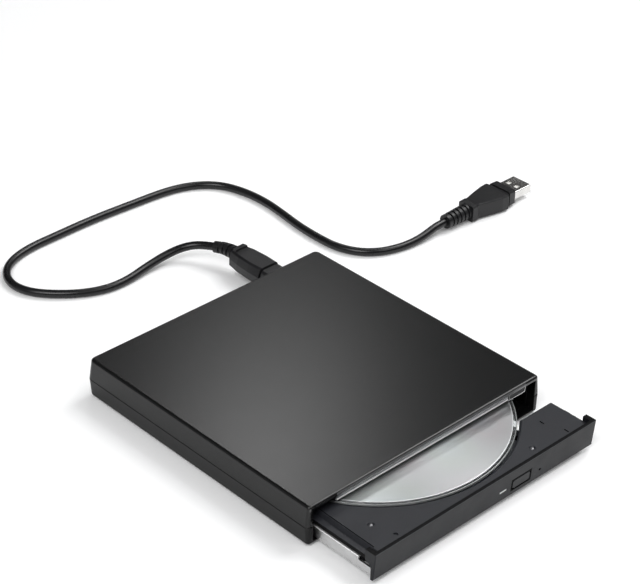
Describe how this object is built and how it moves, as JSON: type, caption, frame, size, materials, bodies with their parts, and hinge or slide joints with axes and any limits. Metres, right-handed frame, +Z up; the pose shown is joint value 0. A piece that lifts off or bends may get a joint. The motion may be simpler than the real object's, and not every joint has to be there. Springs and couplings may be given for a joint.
{
  "type": "external optical disc drive",
  "caption": "Slim black external optical disc drive with its disc tray partly out, a loaded disc, an eject button and a thin plug-in lead.",
  "frame": {"origin": "centre of the drive's footprint at the undersides of its feet, measured without the lead, with the tray 31.6 mm out of its closed place", "axes": "+Z up out of the lid, -Y out of the front bezel along the tray's travel, +X to the right seen from the front"},
  "size_m": [0.2705, 0.2889, 0.0192],
  "materials": {
    "case_plastic": "satin black moulded ABS",
    "tray_plastic": "matte black moulded plastic",
    "bezel_plastic": "fine-textured black plastic",
    "rubber": "soft black rubber",
    "steel_sheet": "zinc-plated steel sheet",
    "pan_steel": "black-coated steel sheet",
    "rail_steel": "bright rolled steel",
    "screw_steel": "bright steel",
    "guide_plastic": "natural acetal",
    "pcb": "green circuit board with parts",
    "black_nylon": "black nylon",
    "motor_steel": "plated steel",
    "hub_plastic": "black moulded plastic",
    "ball_steel": "polished",
    "disc": "mirror-backed polycarbonate disc",
    "sled_metal": "die-cast",
    "lens": "clear moulded lens in its holder",
    "light_window": "clear light guide",
    "cord_jacket": "glossy black PVC",
    "plug_plastic": "satin black moulded PVC",
    "plug_shell": "nickel-plated steel",
    "plug_tongue": "white plastic insulator"
  },
  "bodies": {
    "case": {"top_cover": "case_plastic", "bottom_cover": "case_plastic", "rubber_feet": "rubber", "case_screws": "screw_steel", "drive_chassis": "pan_steel", "drive_screws": "screw_steel", "drive_top_cover": "steel_sheet", "rail_guide_left": "guide_plastic", "rail_guide_right": "guide_plastic", "main_board": "pcb", "board_standoffs": "screw_steel", "latch_catch": "steel_sheet", "bridge_board": "pcb", "board_posts": "black_nylon", "board_connector": "black_nylon", "usb_socket": "steel_sheet", "usb_socket_tongue": "black_nylon", "drive_plug_shell": "plug_shell", "drive_plug_grip": "plug_plastic", "drive_plug_relief": "plug_plastic", "usb_cord": "cord_jacket", "host_plug_relief": "plug_plastic", "host_plug_grip": "plug_plastic", "host_plug_shell": "plug_shell", "host_plug_tongue": "plug_tongue"},
    "rail_left": {"slide_rail_left": "rail_steel"},
    "rail_right": {"slide_rail_right": "rail_steel"},
    "tray": {"tray": "tray_plastic", "tray_screws": "screw_steel", "front_bezel": "bezel_plastic", "led_window": "light_window", "switch_board": "pcb", "tray_bottom_plate": "steel_sheet", "spindle_motor": "motor_steel", "guide_rods": "screw_steel", "rod_clips": "steel_sheet", "feed_motor": "motor_steel", "latch_post": "screw_steel", "eject_solenoid": "motor_steel"},
    "button": {"eject_button": "bezel_plastic"},
    "turntable": {"turntable_hub": "hub_plastic", "clamp_balls": "ball_steel", "optical_disc": "disc"},
    "pickup": {"laser_sled": "sled_metal", "objective_lens": "lens"},
    "lead_screw": {"lead_screw": "screw_steel"},
    "latch": {"latch_lever": "screw_steel"}
  },
  "joints": [
    {"name": "rail_slide", "type": "slide", "parent": "case", "child": "rail_left", "axis": [0, -1, 0], "range_m": [-0.0316, 0.0304]},
    {"name": "tray_slide", "type": "slide", "parent": "rail_left", "child": "tray", "axis": [0, -1, 0], "range_m": [0, 0.065]},
    {"name": "right_rail_slide", "type": "slide", "parent": "case", "child": "rail_right", "axis": [0, -1, 0], "range_m": [-0.0316, 0.0304]},
    {"name": "eject_press", "type": "slide", "parent": "tray", "child": "button", "axis": [0, 1, 0], "range_m": [0, 0.0006], "stiffness_N_per_m": 500},
    {"name": "disc_spin", "type": "hinge", "parent": "tray", "child": "turntable", "pos_m": [0.0006, -0.01904, 0.012], "axis": [0, 0, 1], "continuous": true},
    {"name": "pickup_slide", "type": "slide", "parent": "tray", "child": "pickup", "axis": [0, 1, 0], "range_m": [0, 0.0334]},
    {"name": "lead_screw_turn", "type": "hinge", "parent": "tray", "child": "lead_screw", "pos_m": [-0.0218, 0, 0.0063], "axis": [0, 1, 0], "range_deg": [0, 4010]},
    {"name": "latch_swing", "type": "hinge", "parent": "tray", "child": "latch", "pos_m": [0.031, -0.066, 0.0048], "axis": [0, 0, -1], "range_deg": [0, 10], "stiffness_Nm_per_rad": 0.002}
  ],
  "couplings": [
    {"joint": "right_rail_slide", "follows": "rail_slide", "ratio": 1},
    {"joint": "lead_screw_turn", "follows": "pickup_slide", "rad_per_m": 2094.4}
  ]
}
